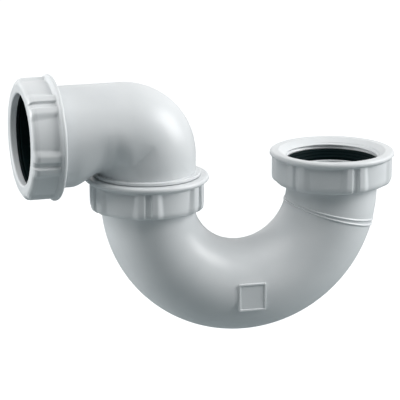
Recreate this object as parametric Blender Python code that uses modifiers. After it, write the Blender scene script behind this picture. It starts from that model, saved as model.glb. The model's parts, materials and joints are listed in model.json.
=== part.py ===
"""A 40 mm bath trap: U-bend, elbow, three nuts, two washers, an outlet seal and its slip ring.

Metres, +Z up. The origin is on the inlet's axis, level with the top of the inlet nut, where the
bath waste screws in. The U-bend lies in the XZ plane and the elbow stands on its other limb, at -X.
"""

import math

import bmesh
import bpy
from mathutils import Matrix, Vector

# Running clearance between pieces that face each other
CLEARANCE = 0.0003

# U-bend
LIMB_SPACING = 0.0964
COUPLING_DROP = 0.0065
INLET_STRAIGHT = 0.0015
TUBE_LEDGE = 0.0005
TUBE_WALL = 0.0026
FLANGE_LEDGE = 0.0022
FLANGE_THICKNESS = 0.0030
NECK_WALL = 0.0023
RING_ANGLE = math.radians(15)
RING_HEIGHT = 0.0005
RING_WIDTH = 0.0009
RING_PITCH = 0.0019
PAD_SIDE = 0.0140
PAD_DROP = 0.0008
PAD_HEIGHT = 0.0005
PAD_BORDER = 0.0009

# Nuts: the inlet and coupling nuts share a 1 1/2 inch pipe thread of 47.8 mm
THREAD_RADIUS = 0.0240
THREAD_DEPTH = 0.0015
NUT_HEIGHT = 0.0167
LIP_THICKNESS = 0.0035
INLET_NUT_WALL = 0.0051
COUPLING_NUT_WALL = 0.0045
OUTLET_NUT_WALL = 0.00305
BEAD_ROLL = 0.0013
BEAD_HEIGHT = 0.0028
BEAD_STEP = 0.0011
RIM_WIDTH = 0.0032
MOUTH_DEPTH = 0.0019
CORNER_RADIUS = 0.0034
GRIP_GROUPS = 6
RIDGE_HEIGHT = 0.0013
GROOVE_HALF_ANGLE = math.radians(1.8)
CREST_INNER_ANGLE = math.radians(3.4)
CREST_OUTER_ANGLE = math.radians(8.6)
FOOT_ANGLE_OPEN_END = math.radians(13.5)
FOOT_ANGLE_LIP_END = math.radians(17.0)
INLET_NUT_PHASE = math.radians(5.6)
COUPLING_NUT_PHASE = math.radians(-12.5)
OUTLET_NUT_PHASE = math.radians(46.0)

# Elbow
ELBOW_TURN = math.radians(2)
LIMB_SINK = 0.00305
OUTLET_REACH = 0.0641
ELBOW_WALL = 0.0028
RISER_STEP = 0.0006
OUTER_BEND_RADIUS = 0.0366
THROAT_FILLET = 0.0020
OUTLET_STRAIGHT = 0.0076
COLLAR_LEDGE = 0.0025
COLLAR_THICKNESS = 0.0015
SPIGOT_WALL = 0.0042

# Waste pipe joint at the outlet
PIPE_RADIUS = 0.0215
SOCKET_PLAY = 0.0005
LIMB_WALL = 0.0030
THREAD_STEP = 0.00025
HOLE_PLAY = 0.0010
CONE_DEPTH = 0.0090
CONE_FLARE = 0.0022
SLIP_RING_THICKNESS = 0.0012
SEAL_LENGTH = 0.0105
SEAL_HEAD = 0.0020
SEAL_SQUEEZE = 0.0002

# Washers in the two captive nuts
WASHER_MARGIN = 0.0006
WASHER_PLAY = 0.0005
INLET_WASHER_HEIGHT = 0.0044
COUPLING_WASHER_THICKNESS = 0.0020
WASHER_RIBS = 3
RIB_HEIGHT = 0.0005

# Facets
TURNED_SIDES = 42
TUBE_SIDES = 36
BEND_STEPS = 20
LOFT_SIDES = 36
ELBOW_STEPS = 10

# Places worked out from the sizes above
FLANGE_RADIUS = THREAD_RADIUS - THREAD_DEPTH
NECK_RADIUS = FLANGE_RADIUS - FLANGE_LEDGE
NECK_BORE = NECK_RADIUS - NECK_WALL
TUBE_RADIUS = FLANGE_RADIUS + TUBE_LEDGE
TUBE_BORE = TUBE_RADIUS - TUBE_WALL
BEND_RADIUS = LIMB_SPACING / 2
INLET_TUBE_TOP = -NUT_HEIGHT - CLEARANCE
COUPLING_TUBE_TOP = -COUPLING_DROP - NUT_HEIGHT - CLEARANCE
BEND_CENTRE = Vector((-BEND_RADIUS, 0, INLET_TUBE_TOP - INLET_STRAIGHT))
PATH_TOP = BEND_CENTRE.z + 2 * TUBE_WALL
FLANGE_BOTTOM_DEPTH = NUT_HEIGHT - LIP_THICKNESS - CLEARANCE
FLANGE_TOP_DEPTH = FLANGE_BOTTOM_DEPTH - FLANGE_THICKNESS
WASHER_BOTTOM_DEPTH = FLANGE_TOP_DEPTH - CLEARANCE
SPIGOT_RADIUS = THREAD_RADIUS - CLEARANCE
SPIGOT_BORE = SPIGOT_RADIUS - SPIGOT_WALL
SPIGOT_END_DEPTH = WASHER_BOTTOM_DEPTH - COUPLING_WASHER_THICKNESS - CLEARANCE
RISER_RADIUS = SPIGOT_RADIUS + RISER_STEP
COUPLING_TOP = -COUPLING_DROP
COLLAR_BOTTOM = COUPLING_TOP + CLEARANCE
COLLAR_TOP = COLLAR_BOTTOM + COLLAR_THICKNESS
COLLAR_RADIUS = RISER_RADIUS + COLLAR_LEDGE
SOCKET_RADIUS = PIPE_RADIUS + SOCKET_PLAY
LIMB_RADIUS = SOCKET_RADIUS + LIMB_WALL
OUTLET_AXIS = COUPLING_TOP + LIMB_RADIUS - LIMB_SINK
OUTLET_SPIGOT_RADIUS = LIMB_RADIUS + THREAD_STEP
OUTLET_THREAD_RADIUS = OUTLET_SPIGOT_RADIUS + CLEARANCE
OUTLET_NUT_START = OUTLET_REACH - NUT_HEIGHT
SLIP_RING_FRONT = OUTLET_REACH - LIP_THICKNESS - CLEARANCE
SLIP_RING_BACK = SLIP_RING_FRONT - SLIP_RING_THICKNESS
SEAL_FRONT = SLIP_RING_BACK - CLEARANCE
SEAL_BACK = SEAL_FRONT - SEAL_LENGTH
ELBOW_END = SEAL_FRONT - SEAL_HEAD - CLEARANCE
CONE_START = ELBOW_END - CONE_DEPTH
TAPER_END = OUTLET_NUT_START - OUTLET_STRAIGHT
THROAT = Vector((RISER_RADIUS + THROAT_FILLET, (COLLAR_BOTTOM + COLLAR_TOP) / 2))

WHITE_PLASTIC = ((0.80, 0.82, 0.83, 1), 0.30)
BLACK_RUBBER = ((0.015, 0.017, 0.018, 1), 0.65)
DARK_PLASTIC = ((0.03, 0.032, 0.034, 1), 0.45)


def clear_scene():
    for old in list(bpy.data.objects):
        bpy.data.objects.remove(old)


def new_collection(name):
    collection = bpy.data.collections.new(name)
    bpy.context.scene.collection.children.link(collection)
    return collection


def add_object(name, mesh, collection):
    obj = bpy.data.objects.new(name, mesh)
    collection.objects.link(obj)
    return obj


def as_cutter(obj):
    obj.hide_render = True
    obj.display_type = "WIRE"
    return obj


def finish_part(obj, look):
    """Give a part its own material and smooth shading with sharp edges."""
    colour, roughness = look
    material = bpy.data.materials.new(obj.name + "_material")
    material.use_nodes = True
    shader = material.node_tree.nodes["Principled BSDF"]
    shader.inputs["Base Color"].default_value = colour
    shader.inputs["Roughness"].default_value = roughness
    shader.inputs["Metallic"].default_value = 0
    obj.data.materials.clear()
    obj.data.materials.append(material)
    obj.data.shade_smooth()
    obj.data.set_sharp_from_angle(angle=math.radians(35))
    return obj


def turned(name, profile, collection):
    """A ring or disc turned about Z from a closed (radius, height) outline, outer side downwards."""
    mesh = bpy.data.meshes.new(name)
    edges = [(i, (i + 1) % len(profile)) for i in range(len(profile))]
    mesh.from_pydata([(radius, 0, height) for radius, height in profile], edges, [])
    obj = add_object(name, mesh, collection)
    screw = obj.modifiers.new("turn", "SCREW")
    screw.axis = "Z"
    screw.angle = 2 * math.pi
    screw.steps = TURNED_SIDES
    screw.render_steps = TURNED_SIDES
    screw.use_merge_vertices = True
    screw.merge_threshold = 0.00001
    return obj


def rod(name, radius, top, bottom, collection):
    """A solid rod between two heights, from a cylinder primitive."""
    mesh = bpy.data.meshes.new(name)
    builder = bmesh.new()
    bmesh.ops.create_cone(
        builder,
        cap_ends=True,
        segments=TURNED_SIDES,
        radius1=radius,
        radius2=radius,
        depth=top - bottom,
        matrix=Matrix.Translation((0, 0, (top + bottom) / 2)),
    )
    builder.to_mesh(mesh)
    builder.free()
    return add_object(name, mesh, collection)


def combine(obj, other, operation):
    modifier = obj.modifiers.new(operation.lower() + "_" + other.name, "BOOLEAN")
    modifier.operation = operation
    modifier.solver = "EXACT"
    modifier.object = other


def swept(name, points, radius, collection):
    """A solid round tube along the points, made a mesh with its caps welded."""
    curve = bpy.data.curves.new(name + "_path", "CURVE")
    curve.dimensions = "3D"
    curve.bevel_depth = radius
    curve.bevel_resolution = (TUBE_SIDES - 4) // 2
    curve.use_fill_caps = True
    spline = curve.splines.new("POLY")
    spline.points.add(len(points) - 1)
    for spot, point in zip(spline.points, points):
        spot.co = (*point, 1)
    guide = add_object(name + "_path", curve, collection)
    graph = bpy.context.evaluated_depsgraph_get()
    mesh = bpy.data.meshes.new_from_object(guide.evaluated_get(graph))
    builder = bmesh.new()
    builder.from_mesh(mesh)
    bmesh.ops.remove_doubles(builder, verts=builder.verts, dist=0.00001)
    bmesh.ops.recalc_face_normals(builder, faces=builder.faces)
    builder.to_mesh(mesh)
    builder.free()
    obj = add_object(name, mesh, collection)
    obj.matrix_world = guide.matrix_world
    bpy.data.objects.remove(guide)
    return obj


def lofted(name, rings, collection):
    """A closed skin over rings of equal count, for sections that no single operation makes."""
    count = len(rings[0])
    points = [point for ring in rings for point in ring]
    faces = []
    for row in range(len(rings) - 1):
        for side in range(count):
            after = (side + 1) % count
            low = row * count
            high = low + count
            faces.append((low + side, low + after, high + after, high + side))
    faces.append(tuple(reversed(range(count))))
    faces.append(tuple(range(len(points) - count, len(points))))
    mesh = bpy.data.meshes.new(name)
    mesh.from_pydata(points, [], faces)
    builder = bmesh.new()
    builder.from_mesh(mesh)
    bmesh.ops.recalc_face_normals(builder, faces=builder.faces)
    builder.to_mesh(mesh)
    builder.free()
    return add_object(name, mesh, collection)


def bend_path(start_height):
    """Centreline of the U-bend, from a height on the inlet limb to beyond the coupling limb's top."""
    points = [Vector((0, 0, start_height))]
    points += [bend_point(math.pi * step / BEND_STEPS) for step in range(BEND_STEPS + 1)]
    points.append(Vector((-LIMB_SPACING, 0, PATH_TOP)))
    return points


def bend_point(turn):
    across = Vector((math.cos(turn), 0, -math.sin(turn)))
    return BEND_CENTRE + BEND_RADIUS * across


def bend_frame(turn):
    """Frame on the bend's centreline: Z back along the tube, X away from the bend's centre."""
    outward = Vector((math.cos(turn), 0, -math.sin(turn)))
    back = Vector((math.sin(turn), 0, math.cos(turn)))
    side = back.cross(outward)
    frame = Matrix((outward, side, back)).transposed().to_4x4()
    frame.translation = bend_point(turn)
    return frame


def neck_profile(top, tube_top):
    """Flange and neck that the captive nut hangs on, sunk a little into the tube below."""
    return [
        (NECK_BORE * 0.5, top),
        (FLANGE_RADIUS, top),
        (FLANGE_RADIUS, top - FLANGE_THICKNESS),
        (NECK_RADIUS, top - FLANGE_THICKNESS),
        (NECK_RADIUS, tube_top - TUBE_WALL),
        (NECK_BORE * 0.5, tube_top - TUBE_WALL),
    ]


def neck_bore_profile(top, tube_top):
    """Waterway through the neck, opening out to the tube's bore."""
    cone_start = tube_top - TUBE_WALL * 0.5
    cone_end = cone_start - (TUBE_BORE - NECK_BORE)
    return [
        (0, top + TUBE_WALL),
        (NECK_BORE, top + TUBE_WALL),
        (NECK_BORE, cone_start),
        (TUBE_BORE - CLEARANCE, cone_end),
        (TUBE_BORE - CLEARANCE, cone_end - TUBE_WALL),
        (0, cone_end - TUBE_WALL),
    ]


def trim_limb(obj, label, across, height, cutters):
    """Cut a limb off square at a height."""
    block = as_cutter(rod(label + "_trim", TUBE_RADIUS * 1.5, PATH_TOP + TUBE_WALL, height, cutters))
    block.location.x = across
    combine(obj, block, "DIFFERENCE")


def make_u_bend(parts, cutters):
    body = swept("u_bend", bend_path(INLET_TUBE_TOP), TUBE_RADIUS, parts)
    trim_limb(body, "coupling_limb", -LIMB_SPACING, COUPLING_TUBE_TOP, cutters)
    ends = (
        ("inlet", 0, -FLANGE_TOP_DEPTH, INLET_TUBE_TOP),
        ("coupling", -LIMB_SPACING, COUPLING_TOP - FLANGE_TOP_DEPTH, COUPLING_TUBE_TOP),
    )
    for label, across, flange_top, tube_top in ends:
        neck = as_cutter(turned(label + "_neck", neck_profile(flange_top, tube_top), cutters))
        neck.location.x = across
        combine(body, neck, "UNION")

    add_double_ring(body, cutters)
    add_square_pad(body, cutters)

    bore = as_cutter(swept("tube_bore", bend_path(PATH_TOP), TUBE_BORE, cutters))
    for label, across, flange_top, tube_top in ends:
        trim_limb(bore, label + "_bore", across, tube_top - TUBE_WALL, cutters)
    combine(body, bore, "DIFFERENCE")
    for label, across, flange_top, tube_top in ends:
        profile = neck_bore_profile(flange_top, tube_top)
        cut = as_cutter(turned(label + "_neck_bore", profile, cutters))
        cut.location.x = across
        combine(body, cut, "DIFFERENCE")
    return finish_part(body, WHITE_PLASTIC)


def add_double_ring(body, cutters):
    """Two raised lines round the tube, just below the inlet."""
    inner = TUBE_RADIUS - TUBE_WALL * 0.4
    for index, side in enumerate((-0.5, 0.5)):
        middle = side * RING_PITCH
        half = RING_WIDTH / 2
        profile = [
            (inner, middle + half),
            (TUBE_RADIUS + RING_HEIGHT * 0.3, middle + half),
            (TUBE_RADIUS + RING_HEIGHT, middle + half * 0.4),
            (TUBE_RADIUS + RING_HEIGHT, middle - half * 0.4),
            (TUBE_RADIUS + RING_HEIGHT * 0.3, middle - half),
            (inner, middle - half),
        ]
        ring = as_cutter(turned("ring_line_%d" % (index + 1), profile, cutters))
        ring.matrix_world = bend_frame(RING_ANGLE)
        combine(body, ring, "UNION")


def box(name, size, collection):
    mesh = bpy.data.meshes.new(name)
    builder = bmesh.new()
    bmesh.ops.create_cube(builder, size=1, matrix=Matrix.Diagonal((*size, 1)))
    builder.to_mesh(mesh)
    builder.free()
    return add_object(name, mesh, collection)


def add_square_pad(body, cutters):
    """A square outline raised on the front of the bend, bare inside, facing -Y."""
    depth = TUBE_WALL * 2
    face = Vector((0, -(TUBE_RADIUS + PAD_HEIGHT) + depth / 2, 0))
    inside = PAD_SIDE - 2 * PAD_BORDER
    pad = as_cutter(box("square_pad", (PAD_SIDE, depth, PAD_SIDE), cutters))
    middle = bend_point(math.pi / 2) - Vector((0, 0, PAD_DROP))
    pad.location = middle + face
    hollow = as_cutter(box("square_pad_inside", (inside, depth, inside), cutters))
    hollow.location = middle + face - Vector((0, PAD_HEIGHT + depth - TUBE_WALL * 0.5, 0))
    combine(pad, hollow, "DIFFERENCE")
    combine(body, pad, "UNION")


def nut_profile(bore, hole, wall):
    """Nut outline from its open end at height 0 down to its lip, ridges at full height."""
    ridge = bore + wall + RIDGE_HEIGHT
    crest = ridge + BEAD_STEP
    outline = [(crest - RIM_WIDTH - BEAD_ROLL, 0)]
    for step in range(5):
        turn = math.radians(90 - 30 * step)
        outline.append(
            (crest - BEAD_ROLL + BEAD_ROLL * math.cos(turn), -BEAD_ROLL + BEAD_ROLL * math.sin(turn))
        )
    outline.append((ridge, -BEAD_HEIGHT))
    corner = Vector((ridge - CORNER_RADIUS, -NUT_HEIGHT + CORNER_RADIUS))
    for step in range(4):
        turn = math.radians(-30 * step)
        outline.append(
            (corner.x + CORNER_RADIUS * math.cos(turn), corner.y + CORNER_RADIUS * math.sin(turn))
        )
    edge = LIP_THICKNESS * 0.25
    outline += [
        (hole + edge, -NUT_HEIGHT),
        (hole, -NUT_HEIGHT + edge),
        (hole, -NUT_HEIGHT + LIP_THICKNESS),
        (bore, -NUT_HEIGHT + LIP_THICKNESS),
        (bore, -MOUTH_DEPTH),
    ]
    return outline


def grip_bars(name, recess, ridge, cutters):
    """Twelve bars, two to a group, whose outer feet spread towards the lip: what the cut leaves."""
    low = recess - RIDGE_HEIGHT
    high = ridge + RIDGE_HEIGHT * 0.15
    mesh = bpy.data.meshes.new(name)
    points = []
    faces = []
    for group in range(GRIP_GROUPS):
        middle = 2 * math.pi * group / GRIP_GROUPS
        for side in (-1, 1):
            start = len(points)
            for height, foot in (
                (-BEAD_HEIGHT * 0.7, FOOT_ANGLE_OPEN_END),
                (-NUT_HEIGHT - BEAD_HEIGHT, FOOT_ANGLE_LIP_END),
            ):
                for radius, inner, outer in (
                    wall_angles(low, recess, ridge, foot),
                    wall_angles(high, recess, ridge, foot),
                ):
                    for angle in (inner, outer):
                        turn = middle + side * angle
                        points.append((radius * math.cos(turn), radius * math.sin(turn), height))
            corners = ((0, 1, 3, 2), (4, 6, 7, 5), (0, 4, 5, 1), (2, 3, 7, 6), (0, 2, 6, 4), (1, 5, 7, 3))
            faces += [tuple(start + corner for corner in face) for face in corners]
    mesh.from_pydata(points, [], faces)
    builder = bmesh.new()
    builder.from_mesh(mesh)
    bmesh.ops.recalc_face_normals(builder, faces=builder.faces)
    builder.to_mesh(mesh)
    builder.free()
    return as_cutter(add_object(name, mesh, cutters))


def wall_angles(radius, recess, ridge, foot):
    """Angles of a bar's two walls at a radius, on straight lines from foot to crest."""
    share = (radius - recess) / (ridge - recess)
    inner = GROOVE_HALF_ANGLE + (CREST_INNER_ANGLE - GROOVE_HALF_ANGLE) * share
    outer = foot + (CREST_OUTER_ANGLE - foot) * share
    return radius, inner, outer


def make_nut(name, bore, hole, wall, frame, parts, cutters):
    body = turned(name, nut_profile(bore, hole, wall), parts)
    recess = bore + wall
    ridge = recess + RIDGE_HEIGHT
    reach = ridge + 4 * BEAD_STEP
    ring = [
        (recess + BEAD_STEP, -BEAD_HEIGHT),
        (reach, -BEAD_HEIGHT),
        (reach, -NUT_HEIGHT - BEAD_HEIGHT * 0.5),
        (recess, -NUT_HEIGHT - BEAD_HEIGHT * 0.5),
        (recess, -BEAD_HEIGHT - BEAD_STEP * 0.6),
    ]
    cut = as_cutter(turned(name + "_recess", ring, cutters))
    bars = grip_bars(name + "_bars", recess, ridge, cutters)
    combine(cut, bars, "DIFFERENCE")
    combine(body, cut, "DIFFERENCE")
    for obj in (body, cut, bars):
        obj.matrix_world = frame
    return finish_part(body, WHITE_PLASTIC)


def make_inlet_washer(parts):
    """Ribbed rubber washer: a funnel whose wall carries concentric ribs."""
    outer = THREAD_RADIUS - WASHER_MARGIN
    inner = NECK_BORE + WASHER_PLAY
    bottom = -WASHER_BOTTOM_DEPTH
    top = bottom + INLET_WASHER_HEIGHT
    rim = (outer - inner) * 0.18
    profile = [(outer - rim, top), (outer, top), (outer, bottom), (inner, bottom)]
    foot = Vector((inner, bottom + RIB_HEIGHT))
    head = Vector((outer - rim, top))
    slope = head - foot
    side = Vector((-slope.y, slope.x)).normalized() * RIB_HEIGHT
    for rib in range(WASHER_RIBS):
        for share, lift in ((0.1, 0), (0.5, 1), (0.9, 0)):
            spot = foot + slope * ((rib + share) / WASHER_RIBS) + side * lift
            profile.append((max(spot.x, inner), spot.y))
    washer = turned("inlet_washer", profile, parts)
    return finish_part(washer, BLACK_RUBBER)


def make_coupling_washer(parts):
    outer = THREAD_RADIUS - WASHER_MARGIN
    inner = NECK_BORE + WASHER_PLAY
    bottom = COUPLING_TOP - WASHER_BOTTOM_DEPTH
    top = bottom + COUPLING_WASHER_THICKNESS
    profile = [(inner, top), (outer, top), (outer, bottom), (inner, bottom)]
    washer = turned("coupling_washer", profile, parts)
    washer.location.x = -LIMB_SPACING
    return finish_part(washer, BLACK_RUBBER)


def elbow_ring(middle, along, half_height, half_width):
    """An oval section: 'along' is its upright direction in the elbow's plane, width goes along Y."""
    ring = []
    for side in range(LOFT_SIDES):
        turn = 2 * math.pi * side / LOFT_SIDES
        spot = middle + along * (half_height * math.cos(turn))
        ring.append((-spot.x, half_width * math.sin(turn), spot.y))
    return ring


def outer_reach(turn, inset):
    """Distance from the throat to the elbow's outer line, top, rounded corner or back, less a wall."""
    ray = Vector((-math.sin(turn), math.cos(turn)))
    top = OUTLET_AXIS + LIMB_RADIUS - inset
    back = -RISER_RADIUS + inset
    radius = OUTER_BEND_RADIUS - inset
    centre = Vector((back + radius, top - radius))
    reaches = []
    if ray.y > 1e-6:
        reaches.append((top - THROAT.y) / ray.y)
    if ray.x < -1e-6:
        reaches.append((back - THROAT.x) / ray.x)
    reach = min(reaches)
    spot = THROAT + ray * reach
    if spot.x < centre.x and spot.y > centre.y:
        offset = THROAT - centre
        half = ray.dot(offset)
        reach = -half + math.sqrt(half * half - offset.length_squared + radius * radius)
    return reach


def elbow_rings(inset, limb_start, limb_radius, riser_stations):
    """Sections of the elbow's skin, or of its bore when inset by the wall, outlet to riser foot."""
    upright = Vector((0, 1))
    rings = []
    for distance in (limb_start, TAPER_END):
        rings.append(elbow_ring(Vector((distance, OUTLET_AXIS)), upright, limb_radius, limb_radius))
    half_widths = (limb_radius, RISER_RADIUS - inset)
    near = THROAT_FILLET + inset
    first_top = THROAT.y + outer_reach(0, LIMB_RADIUS - limb_radius)
    first_low = THROAT.y + near
    limb_low = OUTLET_AXIS - limb_radius
    for share in (0.35, 0.7):
        distance = TAPER_END + (THROAT.x - TAPER_END) * share
        low = limb_low + (first_low - limb_low) * share
        middle = Vector((distance, (first_top + low) / 2))
        rings.append(elbow_ring(middle, upright, (first_top - low) / 2, limb_radius))
    for step in range(ELBOW_STEPS + 1):
        share = step / ELBOW_STEPS
        turn = math.pi / 2 * share
        ray = Vector((-math.sin(turn), math.cos(turn)))
        far = outer_reach(turn, LIMB_RADIUS - limb_radius + (inset - LIMB_RADIUS + limb_radius) * share)
        half_width = half_widths[0] + (half_widths[1] - half_widths[0]) * share
        rings.append(elbow_ring(THROAT + ray * ((near + far) / 2), ray, (far - near) / 2, half_width))
    across = Vector((-1, 0))
    for height, radius in riser_stations:
        rings.append(elbow_ring(Vector((0, height)), across, radius, radius))
    return rings


def make_elbow(pivot, outlet, parts, cutters):
    """One moulding: oval-to-round loft outside and in, with a turned spigot at each end."""
    spigot_end = COUPLING_TOP - SPIGOT_END_DEPTH
    skin = elbow_rings(0, OUTLET_NUT_START, LIMB_RADIUS, [(COLLAR_BOTTOM, RISER_RADIUS)])
    body = lofted("elbow", skin, parts)

    spigot = [
        (SPIGOT_BORE * 0.5, COLLAR_TOP),
        (COLLAR_RADIUS - COLLAR_THICKNESS * 0.2, COLLAR_TOP),
        (COLLAR_RADIUS, COLLAR_TOP - COLLAR_THICKNESS * 0.2),
        (COLLAR_RADIUS, COLLAR_BOTTOM),
        (SPIGOT_RADIUS, COLLAR_BOTTOM),
        (SPIGOT_RADIUS, spigot_end + CLEARANCE),
        (SPIGOT_RADIUS - CLEARANCE, spigot_end),
        (SPIGOT_BORE * 0.5, spigot_end),
    ]
    lower = as_cutter(turned("lower_spigot", spigot, cutters))
    end_bevel = THREAD_STEP * 2
    mouth = [
        (SOCKET_RADIUS * 0.5, ELBOW_END),
        (OUTLET_SPIGOT_RADIUS - end_bevel, ELBOW_END),
        (OUTLET_SPIGOT_RADIUS, ELBOW_END - end_bevel),
        (OUTLET_SPIGOT_RADIUS, OUTLET_NUT_START - CLEARANCE),
        (LIMB_RADIUS - THREAD_STEP, OUTLET_NUT_START - CLEARANCE - 2 * THREAD_STEP),
        (SOCKET_RADIUS * 0.5, OUTLET_NUT_START - CLEARANCE - 2 * THREAD_STEP),
    ]
    outer = as_cutter(turned("outlet_spigot", mouth, cutters))
    combine(body, lower, "UNION")
    combine(body, outer, "UNION")

    passage = elbow_rings(
        ELBOW_WALL,
        ELBOW_END + ELBOW_WALL,
        SOCKET_RADIUS,
        [
            (COLLAR_BOTTOM, RISER_RADIUS - ELBOW_WALL),
            (spigot_end + CLEARANCE, SPIGOT_BORE),
            (spigot_end - ELBOW_WALL, SPIGOT_BORE),
        ],
    )
    bore = as_cutter(lofted("elbow_bore", passage, cutters))
    cone = [
        (0, ELBOW_END + CONE_FLARE),
        (SOCKET_RADIUS + CONE_FLARE, ELBOW_END + CONE_FLARE),
        (SOCKET_RADIUS + CONE_FLARE, ELBOW_END),
        (SOCKET_RADIUS - CLEARANCE, CONE_START),
        (0, CONE_START),
    ]
    flare = as_cutter(turned("seal_cone", cone, cutters))
    combine(body, bore, "DIFFERENCE")
    combine(body, flare, "DIFFERENCE")
    for obj in (body, lower, bore):
        obj.matrix_world = pivot
    for obj in (outer, flare):
        obj.matrix_world = outlet
    return finish_part(body, WHITE_PLASTIC)


def make_outlet_seal(frame, parts):
    """Rubber seal: a head that the nut presses and a wedge that enters the elbow's cone."""
    head = OUTLET_THREAD_RADIUS - WASHER_MARGIN
    bore = PIPE_RADIUS - SEAL_SQUEEZE
    root = SOCKET_RADIUS + CONE_FLARE - CLEARANCE
    share = (SEAL_BACK - CONE_START) / CONE_DEPTH
    tip = SOCKET_RADIUS + CONE_FLARE * share - CLEARANCE
    profile = [
        (bore + SEAL_SQUEEZE, SEAL_FRONT),
        (head, SEAL_FRONT),
        (head, SEAL_FRONT - SEAL_HEAD),
        (root, SEAL_FRONT - SEAL_HEAD),
        (tip, SEAL_BACK),
        (bore, SEAL_BACK),
        (bore, SEAL_FRONT - SEAL_SQUEEZE),
    ]
    seal = turned("outlet_seal", profile, parts)
    seal.matrix_world = frame
    return finish_part(seal, BLACK_RUBBER)


def make_slip_ring(frame, parts):
    outer = OUTLET_THREAD_RADIUS - WASHER_MARGIN
    inner = PIPE_RADIUS + SOCKET_PLAY
    profile = [
        (inner, SLIP_RING_FRONT),
        (outer, SLIP_RING_FRONT),
        (outer, SLIP_RING_BACK),
        (inner, SLIP_RING_BACK),
    ]
    ring = turned("outlet_slip_ring", profile, parts)
    ring.matrix_world = frame
    return finish_part(ring, DARK_PLASTIC)


def nut_frame(across, top, phase):
    """Frame of an upright nut, its first grip group turned from -Y by the phase."""
    return Matrix.Translation((across, 0, top)) @ Matrix.Rotation(phase - math.pi / 2, 4, "Z")


def main():
    clear_scene()
    parts = new_collection("bath_trap")
    cutters = new_collection("bath_trap_cutters")

    make_u_bend(parts, cutters)
    make_inlet_washer(parts)
    make_coupling_washer(parts)
    lip_hole = NECK_RADIUS + CLEARANCE
    inlet_frame = nut_frame(0, 0, INLET_NUT_PHASE)
    make_nut("inlet_nut", THREAD_RADIUS, lip_hole, INLET_NUT_WALL, inlet_frame, parts, cutters)
    coupling_frame = nut_frame(-LIMB_SPACING, COUPLING_TOP, COUPLING_NUT_PHASE)
    make_nut(
        "coupling_nut", THREAD_RADIUS, lip_hole, COUPLING_NUT_WALL, coupling_frame, parts, cutters
    )

    # The elbow's own frame stands on the coupling's axis and the outlet leaves along its -X
    pivot = Matrix.Translation((-LIMB_SPACING, 0, 0)) @ Matrix.Rotation(ELBOW_TURN, 4, "Z")
    outlet = (
        pivot
        @ Matrix.Translation((0, 0, OUTLET_AXIS))
        @ Matrix.Rotation(-math.pi / 2, 4, "Y")
    )
    make_elbow(pivot, outlet, parts, cutters)
    make_outlet_seal(outlet, parts)
    make_slip_ring(outlet, parts)
    outlet_nut_frame = (
        outlet
        @ Matrix.Translation((0, 0, OUTLET_NUT_START))
        @ Matrix.Rotation(math.pi, 4, "X")
        @ Matrix.Rotation(math.pi / 2 - OUTLET_NUT_PHASE, 4, "Z")
    )
    make_nut(
        "outlet_nut",
        OUTLET_THREAD_RADIUS,
        PIPE_RADIUS + HOLE_PLAY,
        OUTLET_NUT_WALL,
        outlet_nut_frame,
        parts,
        cutters,
    )


main()
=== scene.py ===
"""Looks of a 40 mm bath trap: smooth mouldings, cut threads, rubber rings and a pale studio.

Every visible piece is a surface worked out from a few sizes. The inlet's axis is the frame's Z,
the elbow stands on the other limb, and its outlet leaves towards -X.
"""

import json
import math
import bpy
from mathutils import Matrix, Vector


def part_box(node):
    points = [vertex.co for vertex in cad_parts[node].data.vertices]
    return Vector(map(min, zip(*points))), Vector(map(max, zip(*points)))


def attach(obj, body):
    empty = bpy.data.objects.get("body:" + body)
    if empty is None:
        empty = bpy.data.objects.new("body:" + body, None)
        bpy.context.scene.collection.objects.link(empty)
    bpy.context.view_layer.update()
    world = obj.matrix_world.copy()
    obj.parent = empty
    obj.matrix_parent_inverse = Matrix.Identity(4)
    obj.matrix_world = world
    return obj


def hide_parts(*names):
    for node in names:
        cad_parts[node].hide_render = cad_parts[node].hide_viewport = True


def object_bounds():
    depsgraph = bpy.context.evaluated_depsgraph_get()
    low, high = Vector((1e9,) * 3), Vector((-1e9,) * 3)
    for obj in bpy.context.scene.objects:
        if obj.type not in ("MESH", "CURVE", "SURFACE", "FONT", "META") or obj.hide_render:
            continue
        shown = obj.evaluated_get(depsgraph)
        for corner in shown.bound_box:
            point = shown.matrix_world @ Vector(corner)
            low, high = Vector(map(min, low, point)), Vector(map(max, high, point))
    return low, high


bl_info = {
    "name": "Bath trap",
    "version": (1, 0, 0),
    "blender": (4, 5, 0),
    "location": "View3D > Sidebar > Trap",
    "description": "Dresses a bath trap with smooth mouldings, threads, rubber rings and a studio",
    "category": "Add Mesh",
}

import bpy
import numpy as np
from bpy.props import FloatProperty, FloatVectorProperty, IntProperty, PointerProperty
from mathutils import Matrix, Vector

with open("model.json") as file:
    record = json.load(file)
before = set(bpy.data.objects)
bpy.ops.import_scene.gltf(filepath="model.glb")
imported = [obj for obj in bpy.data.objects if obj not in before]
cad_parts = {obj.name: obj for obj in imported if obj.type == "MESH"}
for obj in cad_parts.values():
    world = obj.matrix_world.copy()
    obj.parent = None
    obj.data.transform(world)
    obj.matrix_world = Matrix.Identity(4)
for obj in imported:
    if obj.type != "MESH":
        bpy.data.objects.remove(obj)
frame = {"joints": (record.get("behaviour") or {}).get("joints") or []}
CAD_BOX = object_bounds()
JOINTS = {joint["name"]: joint for joint in frame["joints"]}

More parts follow.
